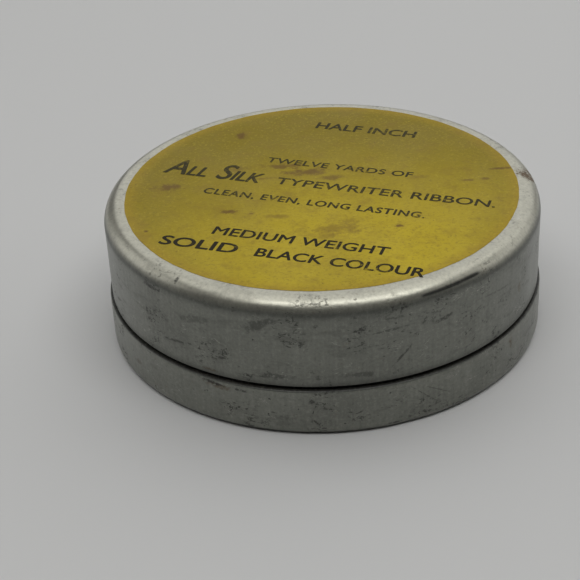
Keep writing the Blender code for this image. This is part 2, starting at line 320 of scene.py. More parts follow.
def fade(value, start, stop, low=0.0, high=1.0):
    """value's place between start and stop, eased, from low to high."""
    ends = {"Value": value, "From Min": start, "From Max": stop, "To Min": low, "To Max": high}
    return Value(put("ShaderNodeMapRange", ends, interpolation_type="SMOOTHSTEP").outputs["Result"])


def mix(share, a, b):
    """Colour a turned into colour b by share."""
    colours = [c if isinstance(c, Value) else (*c, 1.0) for c in (a, b)]
    node = put("ShaderNodeMix", {}, data_type="RGBA", blend_type="MIX")
    return Value(wire(node, {0: share, 6: colours[0], 7: colours[1]}).outputs[2])


def painted(colour, *layers):
    """A colour with others laid over it in turn. A layer is its share and its colour."""
    for share, over in layers:
        colour = mix(share, colour, over)
    return colour


def shade(colour, share):
    """A plain colour made darker or lighter."""
    return tuple(part * share for part in colour)


def noise(where, scale, detail=4.0, rough=0.55, distort=0.0):
    """Cloudy noise from 0 to 1, with scale features in a metre."""
    look = {"Vector": where, "Scale": scale, "Detail": detail, "Roughness": rough, "Distortion": distort}
    return Value(put("ShaderNodeTexNoise", look).outputs["Fac"])


def hairs(where, scale, width, rough=0.55, distort=0.15):
    """Thin wandering lines, 1 along the middle level of a noise and 0 away from it."""
    return fade(abs(noise(where, scale, 4.0, rough, distort) - 0.5), width, width * 0.25)


def object_point():
    """The point on the piece, in metres."""
    return values_of(put("ShaderNodeTexCoord"))["Object"]


def stretched(where, scale, turn=(0.0, 0.0, 0.0)):
    """The point turned, then scaled on its own axes."""
    inputs = {"Vector": where, "Scale": scale, "Rotation": turn}
    return Value(put("ShaderNodeMapping", inputs, vector_type="POINT").outputs[0])


def length_of(vector):
    """A vector's length."""
    return Value(put("ShaderNodeVectorMath", {0: vector}, operation="LENGTH").outputs[1])


def from_axis(where):
    """The point's distance from the Z axis."""
    return length_of(stretched(where, (1, 1, 0)))


def in_rings(where):
    """A point that changes only with the distance from the Z axis."""
    return Value(put("ShaderNodeCombineXYZ", {"X": from_axis(where)}).outputs[0])


def axes_of(where):
    """The point's X, Y and Z."""
    return values_of(put("ShaderNodeSeparateXYZ", {0: where}))


def marked_as(name):
    """The number that a mesh carries under a name."""
    return Value(put("ShaderNodeAttribute", attribute_name=name).outputs["Fac"])


def bump(height, strength, depth):
    """A bump from a height between 0 and 1, depth metres deep."""
    inputs = {"Height": height, "Strength": strength, "Distance": depth}
    return Value(put("ShaderNodeBump", inputs).outputs[0])


def patch_at(where, place, half_sizes, turn=(0.0, 0.0, 0.0)):
    """The distance from a place, with a patch's half sizes on its own axes as the unit."""
    inputs = {"Vector": where, "Location": place, "Rotation": turn, "Scale": half_sizes}
    return length_of(Value(put("ShaderNodeMapping", inputs, vector_type="TEXTURE").outputs[0]))


def marks_on_wall(where, radius, marks):
    """A mask of ragged marks on an upright wall. Each mark has its direction in degrees, its
    height, half length and half width in mm, its slope in degrees and its strength."""
    ragged = (noise(where, 800, 5.0, 0.7) - 0.5) * 3.0
    crumbly = fade(noise(where, 1500, 4.0, 0.7), 0.36, 0.50)
    total = 0.0
    for direction, up, length, width, slope, strength in marks:
        angle = math.radians(direction)
        place = (radius * math.cos(angle), radius * math.sin(angle), up * MM)
        half_sizes = (3 * MM, length * MM, width * MM)
        reach = patch_at(where, place, half_sizes, (math.radians(slope), 0.0, angle))
        total = most(total, fade(reach + ragged, 1.25, 0.55, 0.0, strength))
    return total * crumbly


FLOAT, COLOUR, VECTOR = "NodeSocketFloat", "NodeSocketColor", "NodeSocketVector"


def group(name, inputs, outputs):
    """An empty node group with named inputs and outputs: its tree, what it is given, and its end."""
    tree = Value.tree = bpy.data.node_groups.new(name, "ShaderNodeTree")
    for label, kind, value in inputs:
        socket = tree.interface.new_socket(label, in_out="INPUT", socket_type=kind)
        if value is not None:
            socket.default_value = value
    for label, kind in outputs:
        tree.interface.new_socket(label, in_out="OUTPUT", socket_type=kind)
    return tree, values_of(put("NodeGroupInput")), put("NodeGroupOutput")


def use(made, inputs):
    """What a node group gives for its inputs, by name."""
    return values_of(put("ShaderNodeGroup", inputs, node_tree=made))


def principled(name, roughness, metallic, **settings):
    """A material and its Principled shader, with the values that don't vary."""
    made = bpy.data.materials.new(name)
    made.use_nodes = True
    Value.tree = made.node_tree
    plain = {label.replace("_", " "): value for label, value in settings.items()}
    shader = made.node_tree.nodes["Principled BSDF"]
    return made, wire(shader, {"Roughness": roughness, "Metallic": metallic, **plain})


# ---------------------------------------------------------------- wear and print


def make_handling_wear():
    """Marks of handling on bare metal: strings of small scuffs, crumbs of grime, pits, rust freckles, bright
    hairlines and the upright streaks of drawing. Marks, Rust and Bright are masks, Grain and Blotch are
    about 0.5 on average, and Height is for a bump."""
    tree, given, end = group(
        "handling_wear",
        [("Point", VECTOR, None), ("Rubs", FLOAT, 1.0), ("Rust", FLOAT, 1.0)],
        [(label, FLOAT) for label in ("Marks", "Rust", "Bright", "Grain", "Blotch", "Height")],
    )
    where = given["Point"]
    flatter = stretched(where, (1.0, 1.0, 2.6))
    leaning = stretched(where, (1.0, 1.0, 2.4), (0.5, 0.6, 0.0))
    strings = most(hairs(flatter, 200, 0.034), hairs(leaning, 260, 0.024))
    strings = strings * fade(noise(where, 1900, 4.0, 0.68), 0.46, 0.56)
    strings = strings * fade(noise(where, 210, 3.0, 0.5), 0.53, 0.64)
    crumbs = fade(noise(flatter, 900, 5.0, 0.70, 0.8), 0.59, 0.68)
    crumbs = crumbs * fade(noise(where, 190, 4.0, 0.6), 0.52, 0.63)
    smears = fade(noise(stretched(where, (1.0, 1.0, 3.2)), 260, 4.0, 0.6), 0.54, 0.72)
    pits = fade(noise(where, 1300, 2.0, 0.5), 0.71, 0.76)
    marks = most(strings, crumbs, pits, smears * 0.26)
    freckles = fade(noise(where, 1500, 3.0, 0.6), 0.60, 0.72)
    freckles = freckles * fade(noise(where, 110, 3.0, 0.5), 0.44, 0.64)
    hairlines = hairs(stretched(where, (1.0, 1.0, 3.0), (0.0, 0.3, 0.0)), 170, 0.006, 0.5, 0.2)
    streaks = noise(stretched(where, (1.0, 1.0, 0.06)), 1900, 3.0, 0.6)
    grain = streaks * 0.32 + noise(where, 2300, 4.0, 0.7) * 0.68
    gives = {
        "Marks": calc("MULTIPLY", marks, given["Rubs"], clamp=True),
        "Rust": freckles * given["Rust"],
        "Bright": hairlines * fade(noise(where, 350, 2.0, 0.5), 0.52, 0.62),
        "Grain": grain,
        "Blotch": noise(where, 100, 4.0, 0.6),
        "Height": grain - marks * 0.6,
    }
    wire(end, gives)
    return tree


# Painted light on the print: it is brightest here, at the front, and fades to a shaded yellow towards the
# back.
PRINT_LIT_MOST = (5 * MM, -26 * MM, TOP_Z)
YELLOW_LIT = (0.535, 0.402, 0.019)
YELLOW_SHADED = (0.250, 0.188, 0.012)
YELLOW_DULL = (0.240, 0.180, 0.018)
YELLOW_GOLDEN = (0.380, 0.260, 0.020)
YELLOW_LIGHT = (0.560, 0.440, 0.050)
YELLOW_DARK = (0.200, 0.145, 0.020)
YELLOW_FOXED = (0.250, 0.165, 0.022)
SMUDGE_BROWN = (0.135, 0.068, 0.018)
SPECK_BROWN = (0.035, 0.022, 0.010)

# Smudges on the print: middle across and along, half width, half length (mm), and strength.
SMUDGES = (
    (-12.0, 19.2, 0.9, 1.4, 0.75),
    (-5.5, 7.9, 2.6, 1.0, 0.70),
    (-2.0, 5.6, 3.4, 1.3, 0.75),
    (1.5, 3.6, 1.8, 0.8, 0.65),
    (-12.5, 7.5, 1.6, 0.9, 0.40),
    (-8.6, 4.1, 1.8, 0.4, 0.40),
    (-22.4, 2.0, 1.9, 1.4, 0.75),
    (-13.2, -6.0, 1.3, 0.6, 0.80),
    (-6.0, -7.9, 2.4, 0.6, 0.45),
    (2.8, -11.8, 3.2, 2.0, 0.50),
    (0.5, -14.0, 1.6, 1.0, 0.35),
    (-10.0, -6.8, 0.5, 0.4, 0.70),
    (10.6, -12.0, 0.6, 0.4, 0.85),
    (14.0, 2.6, 1.8, 0.9, 0.30),
    (21.5, 0.9, 1.2, 0.4, 0.50),
    (24.2, 1.2, 0.8, 0.4, 0.55),
    (27.2, 4.2, 1.8, 0.4, 0.85),
    (-24.6, -10.9, 0.4, 0.3, 1.00),
    (-20.0, -16.9, 0.3, 0.5, 1.00),
)


def make_printed_yellow():
    """The lid's yellow print, from a point on the lid: painted light that makes it brightest at the front
    and darker towards the back, a golden rim, broad darker clouds, fine printed grain, brown smudges, and
    specks where the metal has bled through."""
    gives = [("Colour", COLOUR), ("Height", FLOAT)]
    tree, given, end = group("printed_yellow", [("Point", VECTOR, None)], gives)
    where = given["Point"]
    from_lit_spot = put("ShaderNodeVectorMath", {0: where, 1: PRINT_LIT_MOST}, operation="DISTANCE")
    grain = noise(where, 2600, 3.0, 0.7)
    speck = fade(noise(where, 1700, 2.0, 0.5), 0.70, 0.77) * fade(noise(where, 150, 2.0, 0.5), 0.45, 0.62)
    ragged = (noise(where, 620, 6.0, 0.72) - 0.5) * 4.2
    smudges = []
    for across, along, width, length, strength in SMUDGES:
        reach = patch_at(where, (across * MM, along * MM, TOP_Z), (width * MM, length * MM, 1.0))
        smudges.append((fade(reach + ragged, 1.4, 0.2, 0.0, strength), SMUDGE_BROWN))
    colour = painted(
        YELLOW_LIT,
        # Painted light: the yellow darkens away from the front.
        (fade(Value(from_lit_spot.outputs[1]), 6 * MM, 48 * MM), YELLOW_SHADED),
        (fade(noise(where, 70, 4.0, 0.6), 0.35, 0.7, 0.0, 0.35), YELLOW_DULL),
        (fade(from_axis(where), PANEL_R - 2.6 * MM, PANEL_R, 0.0, 0.7), YELLOW_GOLDEN),
        (fade(grain, 0.50, 0.76, 0.0, 0.45), YELLOW_LIGHT),
        (fade(noise(where, 1900, 5.0, 0.68), 0.50, 0.70, 0.0, 0.50), YELLOW_DARK),
        (fade(noise(where, 300, 5.0, 0.70), 0.48, 0.70, 0.0, 0.45), YELLOW_FOXED),
        *smudges,
        (speck * 0.85, SPECK_BROWN),
    )
    wire(end, {"Colour": colour, "Height": grain - speck})
    return tree


def make_weave():
    """A fine plain weave on a strip that runs round Z: warp threads along it and weft threads up
    it, each over and under by turns. Thread is the height of the cloth, from 0 to 1."""
    takes = [("Point", VECTOR, None), ("Thread mm", FLOAT, 0.2)]
    tree, given, end = group("plain_weave", takes, [("Thread", FLOAT)])
    axes = axes_of(given["Point"])
    round_way = calc("ARCTAN2", axes["Y"], axes["X"]) * (PACK_R / MM)
    waves = [calc("SINE", way / given["Thread mm"] * math.pi) for way in (round_way, axes["Z"] / MM)]
    wire(end, {"Thread": fade(waves[0] * waves[1], -1.0, 1.0)})
    return tree


handling_wear = make_handling_wear()
printed_yellow = make_printed_yellow()
plain_weave = make_weave()


# ---------------------------------------------------------------- materials

TIN_BRIGHT = (0.500, 0.490, 0.405)
# Wall colours, darker than the top's: painted shade for the dark surroundings that the walls reflect.
TIN_SHADED_WALL = (0.202, 0.208, 0.181)
BASE_SHADED_WALL = (0.228, 0.234, 0.204)
HAIRLINE = (0.62, 0.61, 0.55)
FRECKLE_BROWN = (0.150, 0.105, 0.055)
STAIN_BROWN = (0.110, 0.068, 0.030)
SCUFF_DARK = (0.022, 0.021, 0.018)
# Nearly black, for painted shade in the crease, under the round edge and in the seam.
PAINTED_SHADE_BLACK = (0.008, 0.008, 0.007)


def tinplate(name, bright, shaded_colour, bright_above, shaded_below, radius, scuffs, stains):
    """Old tinplate. Outside, it is bright above bright_above and darker below shaded_below: painted shade on
    the walls, which stands in for the dark surroundings that they reflect. Where it was sheltered it stays
    bright and clean. Painted shade, nearly black, fills the places that the mesh marks for it, and the wall
    has its own scuffs and rust stains. The rest comes from the wear group."""
    made, shader = principled(name, 0.36, 1.0, Specular_IOR_Level=0.06, Coat_Weight=0.5, Coat_Roughness=0.35)
    where = object_point()
    open_air = calc("SUBTRACT", 1.0, marked_as("sheltered"), clamp=True)
    # Painted shade: the outside walls below bright_above take the darker colour, for the dark surroundings
    # they reflect. The same share also sets how rubbed and rusty they are.
    on_shaded_wall = fade(axes_of(where)["Z"], bright_above, shaded_below) * open_air
    rubs, rust = fade(on_shaded_wall, 0.0, 1.0, 0.48, 0.85), fade(on_shaded_wall, 0.0, 1.0, 1.0, 0.35)
    wear = use(handling_wear, {"Point": where, "Rubs": rubs, "Rust": rust})
    cloud, grain = wear["Blotch"], wear["Grain"]
    darker = mix(on_shaded_wall, shade(bright, 0.70), shade(shaded_colour, 0.72))
    lighter = mix(on_shaded_wall, shade(bright, 1.14), shade(shaded_colour, 1.25))
    stain = marks_on_wall(where, radius, stains) * open_air
    marks = most(marks_on_wall(where, radius, scuffs) * open_air, wear["Marks"])
    # Painted shade, nearly black, where the mesh marks it: the lid's crease, under its round edge and along
    # the seam. The base also has a darker band round its foot.
    painted_shade = marked_as("shade_painted") * fade(grain, 0.3, 0.55, 0.90, 1.0)
    colour = painted(
        # Painted shade: the darker colour on the outside walls.
        mix(on_shaded_wall, bright, shaded_colour),
        (fade(cloud, 0.46, 0.72, 0.0, 0.5), darker),
        (fade(grain, 0.50, 0.66, 0.0, 0.75), darker),
        (fade(grain, 0.50, 0.36, 0.0, 0.75), lighter),
        (wear["Rust"] * 0.62, FRECKLE_BROWN),
        (wear["Bright"] * 0.35, HAIRLINE),
        (stain, STAIN_BROWN),
        (marks * 0.85, SCUFF_DARK),
        (painted_shade * 0.97, PAINTED_SHADE_BLACK),
    )
    not_metal = most(marks, stain, wear["Rust"], painted_shade)
    looks = {
        "Base Color": colour,
        "Metallic": calc("SUBTRACT", 1.0, not_metal, clamp=True),
        "Roughness": fade(cloud, 0.3, 0.7, 0.32, 0.42) + on_shaded_wall * 0.05 + not_metal * 0.25,
        "Normal": bump(wear["Height"], 0.5, 0.05 * MM),
    }
    wire(shader, looks)
    return made


def printed_panel():
    """Matt yellow print on the lid."""
    made, shader = principled("print_yellow", 0.5, 0.0, Specular_IOR_Level=0.10)
    where = object_point()
    paint = use(printed_yellow, {"Point": where})
    rough = fade(noise(where, 110, 3.0, 0.6), 0.3, 0.7, 0.40, 0.54)
    height = bump(paint["Height"], 0.45, 0.02 * MM)
    wire(shader, {"Base Color": paint["Colour"], "Roughness": rough, "Normal": height})
    return made


def lettering_ink(name, ink, worn_from, worn_to):
    """Thin ink over the yellow print, which shows through where the ink has worn."""
    made, shader = principled(name, 0.5, 0.0, Specular_IOR_Level=0.08)
    where = object_point()
    paint = use(printed_yellow, {"Point": where})
    worn = noise(where, 1500, 4.0, 0.7) * 0.6 + noise(where, 140) * 0.4
    wire(shader, {"Base Color": mix(fade(worn, worn_from, worn_to, 0.0, 0.75), ink, paint["Colour"])})
    return made


def spool_steel():
    """Plain pressed steel with a faint turned grain, rubbed and a little stained."""
    made, shader = principled("spool_steel", 0.34, 1.0)
    where = object_point()
    wear = use(handling_wear, {"Point": where, "Rubs": 0.35, "Rust": 0.5})
    brushed = noise(in_rings(where), 5200, 4.0, 0.7)
    colour = painted(
        (0.40, 0.40, 0.40),
        (fade(brushed, 0.3, 0.7), (0.54, 0.54, 0.53)),
        (fade(wear["Blotch"], 0.45, 0.70, 0.0, 0.4), (0.26, 0.25, 0.23)),
        (wear["Marks"] * 0.7, (0.05, 0.05, 0.05)),
        (wear["Rust"] * 0.7, (0.11, 0.055, 0.025)),
    )
    rough = fade(wear["Blotch"], 0.3, 0.7, 0.26, 0.44)
    height = bump(brushed + wear["Height"], 0.2, 0.02 * MM)
    wire(shader, {"Base Color": colour, "Roughness": rough, "Normal": height})
    return made


def tarnished_brass():
    """Brass gone brown in patches."""
    made, shader = principled("brass", 0.3, 1.0)
    cloud = noise(object_point(), 700, 4.0, 0.65)
    colour = mix(fade(cloud, 0.40, 0.68), (0.66, 0.47, 0.18), (0.30, 0.19, 0.07))
    wire(shader, {"Base Color": colour, "Roughness": fade(cloud, 0.35, 0.7, 0.22, 0.48)})
    return made


def waxed_card():
    """Buff card with short fibres, waxy patches and a ring of ink where the spool has lain."""
    made, shader = principled("waxed_card", 0.6, 0.0)
    where = object_point()
    fibre = noise(stretched(where, (1, 6, 1), (0, 0, 0.6)), 500, 3.0, 0.6)
    fibre = fibre + noise(stretched(where, (7, 1, 1), (0, 0, 0.2)), 500, 3.0, 0.6)
    wax = noise(where, 120, 4.0, 0.6)
    off_ring = abs(from_axis(where) - (FLANGE_R - 0.4 * MM))
    ring = fade(off_ring, 0.9 * MM, 0.1 * MM) * fade(wax, 0.35, 0.6)
    colour = painted(
        (0.42, 0.33, 0.20),
        (fade(fibre, 0.7, 1.3), (0.60, 0.50, 0.34)),
        (fade(wax, 0.48, 0.66, 0.0, 0.5), (0.33, 0.24, 0.13)),
        (ring * 0.55, (0.07, 0.06, 0.055)),
    )
    rough = fade(wax, 0.4, 0.65, 0.66, 0.38)
    wire(shader, {"Base Color": colour, "Roughness": rough, "Normal": bump(fibre, 0.5, 0.04 * MM)})
    return made


def inked_fabric(name, wound):
    """Ribbon soaked in black ink. Its face is a fine weave with a firm selvedge. The sides of a
    wound pack are the edges of many turns, some dry and some glossy with ink."""
    made, shader = principled(name, 0.62, 0.0, Sheen_Weight=0.2, Sheen_Roughness=0.5)
    where = object_point()
    relief = use(plain_weave, {"Point": where, "Thread mm": 0.22})["Thread"]
    from_middle = abs(axes_of(where)["Z"] - PACK_MIDDLE)
    bright = fade(from_middle, SELVEDGE_FROM_MIDDLE, SELVEDGE_FROM_MIDDLE + 0.1 * MM)
    if wound:
        wander = noise(where, 260, 2.0, 0.5) * (0.3 * MM)
        turn = (from_axis(where) + wander) * (TURN / (0.24 * MM))
        turns = fade(calc("SINE", turn), -1.0, 1.0)
        band = fade(noise(in_rings(where), 1400, 3.0, 0.6), 0.42, 0.68)
        on_side = fade(from_middle, PACK_SIDE_FROM_MIDDLE - 0.06 * MM, PACK_SIDE_FROM_MIDDLE)
        relief = relief * (1.0 - on_side) + turns * on_side
        bright = bright * (1.0 - on_side) + band * on_side
    cloud = noise(where, 240, 4.0, 0.6)
    colour = painted(
        (0.010, 0.010, 0.013),
        (relief, (0.034, 0.034, 0.042)),
        (bright * 0.45, (0.060, 0.058, 0.066)),
        (fade(cloud, 0.40, 0.7, 0.0, 0.6), (0.012, 0.011, 0.020)),
    )
    rough = fade(cloud, 0.3, 0.7, 0.64, 0.42)
    wire(shader, {"Base Color": colour, "Roughness": rough, "Normal": bump(relief, 0.7, 0.05 * MM)})
    return made


# Marks on the walls: direction (degrees), height, half length, half width (mm), slope (degrees)
# and strength.
LID_SCUFFS = (
    (-129.6, 20.2, 0.30, 0.35, 0, 1.00),
    (-131.0, 10.9, 2.9, 0.22, 8, 0.75),
    (-116.0, 10.7, 0.9, 0.22, 10, 0.80),
    (-106.0, 17.0, 2.3, 0.80, 25, 0.55),
    (-136.5, 18.0, 1.7, 0.30, 0, 0.90),
    (-157.0, 10.6, 1.2, 0.20, 12, 0.60),
    (-124.0, 15.6, 2.4, 0.60, 12, 0.40),
    (-103.0, 9.2, 2.2, 0.45, 0, 0.60),
    (-82.4, 9.2, 2.4, 0.45, 0, 0.50),
    (-75.0, 15.5, 3.0, 0.18, 4, 0.55),
    (-73.5, 17.3, 1.2, 0.25, 0, 0.50),
    (-72.0, 11.1, 2.0, 0.18, 45, 0.70),
    (-60.2, 15.2, 1.4, 0.35, 12, 0.75),
    (-43.0, 15.3, 4.0, 0.18, -6, 0.40),
)
LID_STAINS = (
    (-120.0, 8.3, 1.6, 0.25, 0, 0.50),
    (-32.0, 13.0, 0.5, 1.1, 15, 0.45),
    (4.5, 20.3, 2.2, 1.0, 0, 1.0),
)
BASE_SCUFFS = (
    (-119.0, 6.6, 1.9, 0.32, -6, 1.00),
    (-111.5, 6.3, 1.0, 0.25, -4, 0.85),
    (-93.4, 4.4, 1.25, 0.07, 69, 0.90),
    (-65.8, 4.0, 2.8, 0.09, -42, 0.55),
    (-62.4, 4.3, 2.5, 0.09, -31, 0.50),
    (-73.6, 0.8, 1.2, 0.16, 0, 0.85),
    (-101.0, 2.6, 1.6, 0.40, 0, 0.35),
)
BASE_STAINS = (
    (-36.9, 5.5, 0.5, 1.1, 12, 0.75),
    (-117.0, 6.2, 2.2, 0.45, -5, 0.55),
    (-146.0, 3.5, 0.7, 0.4, 0, 0.40),
)

lid_tin = tinplate(
    "lid_tinplate", TIN_BRIGHT, TIN_SHADED_WALL, TOP_Z - 0.7 * MM, TOP_Z - 2.0 * MM, LID_R, LID_SCUFFS, LID_STAINS
)
base_tin = tinplate(
    "base_tinplate", TIN_BRIGHT, BASE_SHADED_WALL, TOP_Z, SHOULDER_Z + 0.5 * MM, BASE_R, BASE_SCUFFS, BASE_STAINS
)
yellow = printed_panel()
printed_ink = lettering_ink("printed_ink", (0.040, 0.033, 0.010), 0.50, 0.68)
stamped_ink = lettering_ink("stamped_ink", (0.020, 0.016, 0.006), 0.54, 0.70)
steel = spool_steel()
brass = tarnished_brass()
card = waxed_card()
ribbon_turns = inked_fabric("ribbon_turns", wound=True)
ribbon_weave = inked_fabric("ribbon_weave", wound=False)


# ---------------------------------------------------------------- the tin


CREASE_DEG, CREASE_Z = -58.0, TOP_Z - 1.15 * MM


def dent(angle, z, middle_deg, half_deg, height, half_height):
    """A round hollow in a wall: 1 at its middle, and nothing beyond about twice its half sizes."""
    return bump_shape(np.hypot(angle_from(angle, middle_deg) / half_deg, (z - height) / half_height))


def moves(points, radius, out, up):
    """The move of each point away from the axis by out, and up."""
    reach = np.where(radius > 1e-9, out / np.maximum(radius, 1e-9), 0)
    return np.stack([points[:, 0] * reach, points[:, 1] * reach, up], axis=1)


def lid_knocks(points):
    """The lid's unevenness, as a move of each point. Its skirt is slightly oval, rippled and
    dented, its top sags a little, and at the front right its round edge is bent into a short
    crease."""
    radius, angle = polar(points)
    z = points[:, 2]
    skirt = np.clip((radius / LID_R - 0.80) / 0.20, 0, 1) ** 2
    ripple = 0.030 * np.cos(2 * angle + 0.8) + 0.012 * np.sin(7 * angle + 900 * z)
    ripple += 0.008 * np.sin(13 * angle)
    dents = 0.10 * dent(angle, z, -22, 5, TOP_Z - 7 * MM, 5 * MM)
    dents += 0.07 * dent(angle, z, -128, 9, TOP_Z - 8 * MM, 3 * MM)
    along = np.clip(1 - (angle_from(angle, CREASE_DEG) / 11) ** 4, 0, 1)
    below = CREASE_Z - z
    fold = np.exp(-np.maximum(below, 0) / (1.6 * MM)) * np.clip(below / (0.12 * MM), 0, 1)
    out = MM * (skirt * (ripple - dents) - 0.20 * along * fold * (radius > 0.95 * LID_R))
    flat = np.clip(1 - (radius / (LID_R - LID_EDGE_RADIUS)) ** 2, 0, 1)
    down = flat * (0.07 + 0.03 * np.sin(3 * angle + 0.5) * radius / LID_R) * MM
    return moves(points, radius, out, -down * (z > TOP_Z - 2 * MM))


def base_knocks(points):
    """The base's unevenness: slightly oval and rippled, with two shallow dents low on its body."""
    radius, angle = polar(points)
    z = points[:, 2]
    wall = np.clip((radius / BASE_R - 0.85) / 0.15, 0, 1) ** 2
    ripple = 0.020 * np.cos(2 * angle - 0.5) + 0.008 * np.sin(9 * angle + 700 * z)
    dents = 0.12 * dent(angle, z, -70, 4, 1.2 * MM, 1.2 * MM)
    dents += 0.08 * dent(angle, z, 140, 6, 3 * MM, 2 * MM)
    return moves(points, radius, wall * MM * (ripple - dents * (z < SHOULDER_Z)), 0 * z)


def sheltered(points, radius, low, high, edge):
    """Whether each point lies under the surface of a cylinder with round edges, and not on it. The inside of
    the sheet, and the neck, have stayed clean, and get none of the walls' painted shade."""
    across = np.hypot(points[:, 0], points[:, 1]) - (radius - edge)
    up = np.abs(points[:, 2] - (low + high) / 2) - ((high - low) / 2 - edge)
    past = np.hypot(np.maximum(across, 0), np.maximum(up, 0)) + np.minimum(np.maximum(across, up), 0)
    return past - edge < -SHEET / 2


def lid_painted_shade(points):
    """Painted shade along the crease in the lid's round edge, under that edge all the way round where dark
    surroundings are reflected, and along the skirt's lower edge and its cut edge at the seam."""
    radius, angle = polar(points)
    z = points[:, 2]
    beside = angle_from(angle, CREASE_DEG)
    level = CREASE_Z + 0.10 * MM * np.sin(np.radians(beside) * 9)
    along = np.clip(1 - (beside / 9.5) ** 6, 0, 1)
    outside = radius > LID_R - 1.2 * MM
    crease = outside * np.clip(1.7 * along * bump_shape((z - level) / (0.25 * MM)), 0, 1)
    under_edge = 0.42 * bump_shape((z - TOP_Z + 1.75 * MM) / (0.6 * MM))
    lower_edge = 0.40 * bump_shape((z - LID_EDGE_Z) / (0.7 * MM))
    return np.maximum.reduce([crease, under_edge * outside, lower_edge, z < LID_EDGE_Z + CUT_EDGE])


def make_shell(body, profile, cover, painted_shade, knocks, finish):
    """A drawn sheet, revolved from its profile. cover is the cylinder that the air reaches: its
    radius, its lowest and highest height, and how round its edges are."""
    mesh = meshed(body + "_shell", *revolve(profile))
    points = points_of(mesh)
    mark(mesh, "sheltered", sheltered(points, *cover))
    # Where painted shade darkens the sheet.
    mark(mesh, "shade_painted", painted_shade(points))
    move_to(mesh, points + knocks(points))
    dressed(body + "_shell", mesh, finish, body, [body])


def make_lid():
    """The lid's sheet: top, round edge, skirt and cut edge, then the same surface from inside."""
    inner = LID_R - SHEET
    profile = rounded(
        [
            (0, TOP_Z, 0),
            (LID_R, TOP_Z, LID_EDGE_RADIUS),
            (LID_R, LID_EDGE_Z + 0.25 * MM, 0),
            (LID_R, LID_EDGE_Z, CUT_EDGE),
            (inner, LID_EDGE_Z, CUT_EDGE),
            (inner, TOP_Z - SHEET, LID_EDGE_RADIUS - SHEET),
            (0, TOP_Z - SHEET, 0),
        ],
        step=0.6 * MM,
        arc_steps=28,
    )
    make_shell("lid", profile, (LID_R, -TOP_Z, TOP_Z, LID_EDGE_RADIUS), lid_painted_shade, lid_knocks, lid_tin)


def base_painted_shade(points):
    """Painted shade on the shoulder, in the seam where the lid's edge comes down to it, and a fainter,
    uneven darker band round the foot.
    """
    radius, angle = polar(points)
    z = points[:, 2]
    outside = (radius > BASE_R - SHEET / 2) | (z > SHOULDER_Z - SHEET / 2)
    down = np.clip(2.6 * ((z - SHOULDER_Z) / SHOULDER_RADIUS + 0.52), 0, 1)
    shoulder = outside * down * (z < SHOULDER_Z + SEAM_GAP)
    thick = 0.5 + 0.5 * np.sin(3 * angle + 1)
    foot = 0.45 * thick * bump_shape((z - 0.25 * MM) / (0.35 * MM)) * (radius > BASE_R - 1.1 * MM)
    return np.maximum(shoulder, foot)


def make_base():
    """The base's sheet: floor, body, round shoulder and neck, inside first and then outside."""
    inner_wall, neck_inner = BASE_R - SHEET, NECK_R - SHEET
    under_shoulder = SHOULDER_Z - SHEET
    profile = rounded(
        [
            (0, SHEET, 0),
            (inner_wall, SHEET, FOOT_RADIUS - SHEET),
            (inner_wall, under_shoulder, SHOULDER_RADIUS / 2),
            (neck_inner, under_shoulder, SHOULDER_RADIUS / 2),
            (neck_inner, NECK_TOP_Z, CUT_EDGE),
            (NECK_R, NECK_TOP_Z, CUT_EDGE),
            (NECK_R, SHOULDER_Z, SHOULDER_RADIUS / 2),
            (BASE_R, SHOULDER_Z, SHOULDER_RADIUS),
            (BASE_R, SHOULDER_Z - 0.6 * MM, 0),
            (BASE_R, 0, FOOT_RADIUS),
            (0, 0, 0),
        ],
        step=0.8 * MM,
        arc_steps=12,
    )
    make_shell("base", profile, (BASE_R, 0, 2 * NECK_TOP_Z, FOOT_RADIUS), base_painted_shade, base_knocks, base_tin)


def make_panel():
    """The yellow print, a coat on the lid's flat top with a slightly uneven edge."""
    points, faces = revolve(disc_profile(PANEL_R, TOP_Z - PRINT_COAT, TOP_Z + PRINT_COAT, 0, 0.7 * MM))
    radius, angle = polar(points)
    uneven = 0.0012 * np.sin(5 * angle) + 0.0008 * np.sin(23 * angle + 1) + 0.0005 * np.sin(61 * angle)
    points[:, :2] *= (1 + (radius / PANEL_R) ** 8 * uneven)[:, None]
    piece("lid_print", points + lid_knocks(points), faces, yellow, "lid")


STRIKE_RISE = 0.003  # mm


def line_of_print(words, start, stop, height, cap, spacing, rise):
    """A line of capitals as a mesh in the lid's plane, from start to stop along the turned line,
    with its baseline at height, cap tall, and lifted by rise. Lower-case letters become small
    capitals, in a line that slants. Lengths are in mm."""
    curve = bpy.data.curves.new("line_of_print", "FONT")
    curve.body = words
    if not words.isupper():
        curve.small_caps_scale = 0.64
        curve.shear = 0.16
        for letter in curve.body_format:
            letter.use_small_caps = True
    curve.extrude = PRINT_COAT / 2
    curve.space_character = spacing
    curve.resolution_u = 5
    curve.size = cap * MM / 0.72
    written = added("line_of_print", curve)
    seen = written.evaluated_get(bpy.context.evaluated_depsgraph_get())
    mesh = bpy.data.meshes.new_from_object(seen)
    bpy.data.objects.remove(written)
    points = points_of(mesh)
    low, high = points[:, 0].min(), points[:, 0].max()
    along = start + (points[:, 0] - low) / (high - low) * (stop - start)
    up = height + points[:, 1] / MM
    turn_cos, turn_sin = math.cos(TEXT_TURN), math.sin(TEXT_TURN)
    placed = np.stack(
        [
            (along * turn_cos - up * turn_sin) * MM,
            (along * turn_sin + up * turn_cos) * MM,
            points[:, 2] + TOP_Z + PRINT_COAT + rise * MM,
        ],
        axis=1,
    )
    move_to(mesh, placed + lid_knocks(placed))
    return mesh


